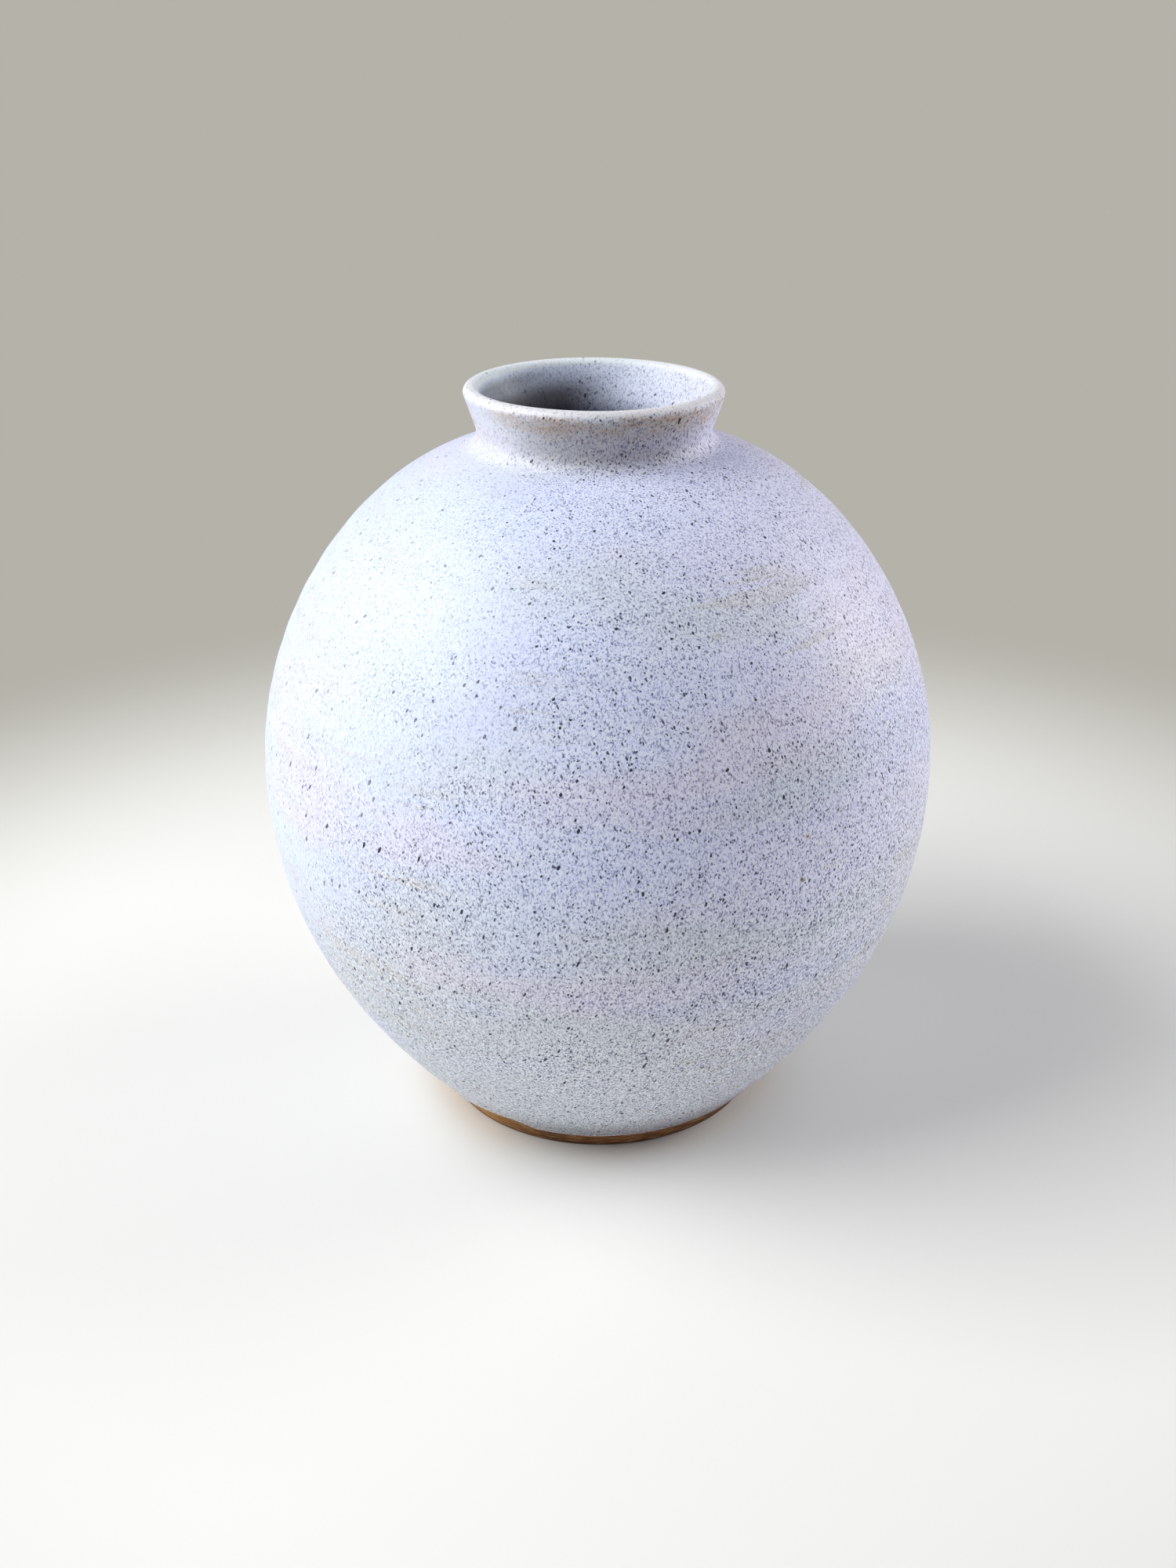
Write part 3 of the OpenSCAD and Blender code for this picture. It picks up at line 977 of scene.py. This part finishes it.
def clay_material(name):
    """Toasted bare stoneware with level scratches and grog."""
    made, tree, shader, where = new_material(name)
    toast = remap(tree, noise(tree, where, 9 * MM, 3, 0.6, stretch=(2, 2, 0.6)), 0.36, 0.64)
    golden = mix(tree, toast, GOLDEN_DARK, GOLDEN_PALE)
    shaded_clay = mix(tree, toast, SHADED_CLAY_DARK, SHADED_CLAY_PALE)
    # painted shade: darker on the front right, away from the key lamp
    colour = mix(tree, facing(tree, where, 60, -28 * MM, 12 * MM), golden, shaded_clay)
    scratch = noise(tree, where, 0.42 * MM, 3, 0.6, stretch=(12, 12, 1))
    colour = lay(tree, colour, SCRATCH_DARK, remap(tree, scratch, 0.50, 0.64), 0.75)
    colour = lay(tree, colour, SCRATCH_PALE, remap(tree, scratch, 0.47, 0.34), 0.45)
    from_edge = add(tree, "Attribute", attribute_name="from_edge").outputs["Fac"]
    # partly flux, partly painted shadow under the glaze's edge
    colour = lay(tree, colour, FLUX_AND_SHADOW_LINE, remap(tree, from_edge, -0.95 * MM, -0.45 * MM), 0.85)
    # painted shade where the foot meets the floor
    colour = lay(tree, colour, CONTACT_SHADE, by_height(tree, where, 0, 1.3 * MM, 0.2 * MM), 0.75)
    grog = spots(tree, where, 1.5 * MM, 0.3 * MM, 0.6, soft=0.5, tall=0.6)
    colour = lay(tree, colour, GROG, grog, 0.6)
    sand = spots(tree, where, 1.9 * MM, 0.26 * MM, 0.5, soft=0.5, tall=0.7)
    colour = lay(tree, colour, SAND, sand, 0.5)
    tree.links.new(colour, shader.inputs["Base Color"])
    tree.links.new(remap(tree, scratch, 0.3, 0.7, 0.78, 0.92), shader.inputs["Roughness"])
    shader.inputs["Specular IOR Level"].default_value = CLAY_SHINE
    feel = math_node(tree, "ADD", times(tree, scratch, 0.8), times(tree, grog, -0.6))
    press(tree, shader, feel, CLAY_FEEL)
    return made


bare_clay = clay_material("bare_stoneware_toasted")
print("clay nodes:", len(bare_clay.node_tree.nodes))

# %% [markdown]
# ## Dress the pieces
#
# Each new piece takes its material, says which CAD node it stands for, and rides on the pot's one body.

# %% Dress the pieces
def dress(piece, node_name, material):
    """Finish a piece that stands for a CAD node."""
    piece.data.materials.clear()
    piece.data.materials.append(material)
    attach(piece, "root")
    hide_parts(node_name)
    print(f"{piece.name} stands for {node_name}")


dress(outer_coat, "outer_glaze", outer_glaze)
dress(liner_coat, "liner_glaze", liner_glaze)
dress(foot_ring, "foot_ring", bare_clay)
dress(thrown_body, "thrown_body", bare_clay)
dress(neck_collar, "neck_collar", bare_clay)

# %% [markdown]
# ## Floor, light and camera
#
# The vase stands on a plain pale floor that fades to a warm grey away from it, so that a white pot still
# stands clear of its background. The grey is only there to be seen, by the camera and in reflections, and
# casts no light on the pot. A large soft lamp on the upper left gives the shape, a weaker one on the right
# brightens the far edge, and the world fills the shade. The camera looks down at the belly from close by,
# so we see into the neck and under the curve of the shoulder at once.

# %% Make the floor
FLOOR_SIZE = 60.0
FLOOR_COLOUR = tint(236, 236, 233)
BACKGROUND = tint(180, 178, 169)
FADE_FROM, FADE_TO = 0.18, 0.42  # distances from the pot between which the floor fades
FLOOR_ROUGHNESS, FLOOR_SHINE = 0.8, 0.2


def seen(tree):
    """1 for what is seen, straight on or in a sheen, and 0 for light that falls on the pot."""
    path = add(tree, "LightPath").outputs
    shown = math_node(tree, "MAXIMUM", path["Is Camera Ray"], path["Is Glossy Ray"])
    return math_node(tree, "MAXIMUM", shown, path["Is Transmission Ray"])


def floor_material():
    """Pale floor that fades into the plain background away from the pot."""
    made, tree, shader, where = new_material("pale_floor")
    shader.inputs["Base Color"].default_value = FLOOR_COLOUR
    shader.inputs["Roughness"].default_value = FLOOR_ROUGHNESS
    shader.inputs["Specular IOR Level"].default_value = FLOOR_SHINE
    away = add(tree, "VectorMath", {0: where}, operation="LENGTH").outputs["Value"]
    fade = times(tree, remap(tree, away, FADE_FROM, FADE_TO), seen(tree))
    plain = add(tree, "Emission", {"Color": BACKGROUND, "Strength": 1.0}).outputs[0]
    blend = add(tree, "MixShader", {0: fade, 1: shader.outputs[0], 2: plain}).outputs[0]
    tree.links.new(blend, tree.nodes["Material Output"].inputs["Surface"])
    return made


half_floor = FLOOR_SIZE / 2
floor_mesh = bpy.data.meshes.new("floor")
floor_corners = [(-1, -1), (1, -1), (1, 1), (-1, 1)]
floor_mesh.from_pydata([(x * half_floor, y * half_floor, 0) for x, y in floor_corners], [], [(0, 1, 2, 3)])
floor = bpy.data.objects.new("floor", floor_mesh)
floor_mesh.materials.append(floor_material())
bpy.context.scene.collection.objects.link(floor)
print(f"floor {FLOOR_SIZE:.0f} m across")


# %% Place the lights
def soft_lamp(name, place, target, size, power, colour):
    """A square soft lamp that faces target."""
    lamp = bpy.data.lights.new(name, "AREA")
    lamp.shape = "SQUARE"
    lamp.size = size
    lamp.energy = power
    lamp.color = colour
    made = bpy.data.objects.new(name, lamp)
    made.location = place
    made.rotation_euler = (Vector(target) - Vector(place)).to_track_quat("-Z", "Y").to_euler()
    bpy.context.scene.collection.objects.link(made)
    print(f"{name} lamp: {power} W, {size} m square")


middle = (0, 0, cad_high.z / 2)
soft_lamp("key", place=(-0.90, -0.19, 0.87), target=middle, size=1.0, power=18.2, colour=(1.0, 1.0, 0.98))
soft_lamp("side", place=(1.10, 0.31, 0.47), target=middle, size=0.7, power=9.5, colour=(1.0, 0.98, 0.97))

# %% Light the room
ROOM_COLOUR = (0.90, 0.93, 1.0, 1.0)
ROOM_STRENGTH = 0.25
world = bpy.data.worlds.new("studio")
world.use_nodes = True
world_tree = world.node_tree
room_light = world_tree.nodes["Background"]
room_light.inputs["Color"].default_value = ROOM_COLOUR
room_light.inputs["Strength"].default_value = ROOM_STRENGTH
backdrop = add(world_tree, "Background", {"Color": BACKGROUND, "Strength": 1.0}).outputs[0]
either = {0: seen(world_tree), 1: room_light.outputs[0], 2: backdrop}
surroundings = add(world_tree, "MixShader", either).outputs[0]
world_tree.links.new(surroundings, world_tree.nodes["World Output"].inputs["Surface"])
bpy.context.scene.world = world

# %% Set up the camera
CAMERA_AT = (-0.0027, -0.4496, 0.2964)
LOOK_DOWN = 24.75  # degrees below level
ROLL = -0.68  # degrees round the line of sight
SENSOR_WIDTH, LENS = 36, 41.03  # both in millimetres

camera_data = bpy.data.cameras.new("camera")
camera_data.sensor_width = SENSOR_WIDTH
camera_data.lens = LENS
camera = bpy.data.objects.new("camera", camera_data)
camera.location = CAMERA_AT
camera.rotation_mode = "QUATERNION"
camera.rotation_quaternion = (
    Quaternion((1, 0, 0), math.radians(90 - LOOK_DOWN)) @ Quaternion((0, 0, 1), math.radians(ROLL))
)
bpy.context.scene.collection.objects.link(camera)
bpy.context.scene.camera = camera
bpy.context.scene.view_settings.view_transform = "Standard"
print(f"the camera looks {LOOK_DOWN} degrees down through a {LENS} mm lens")
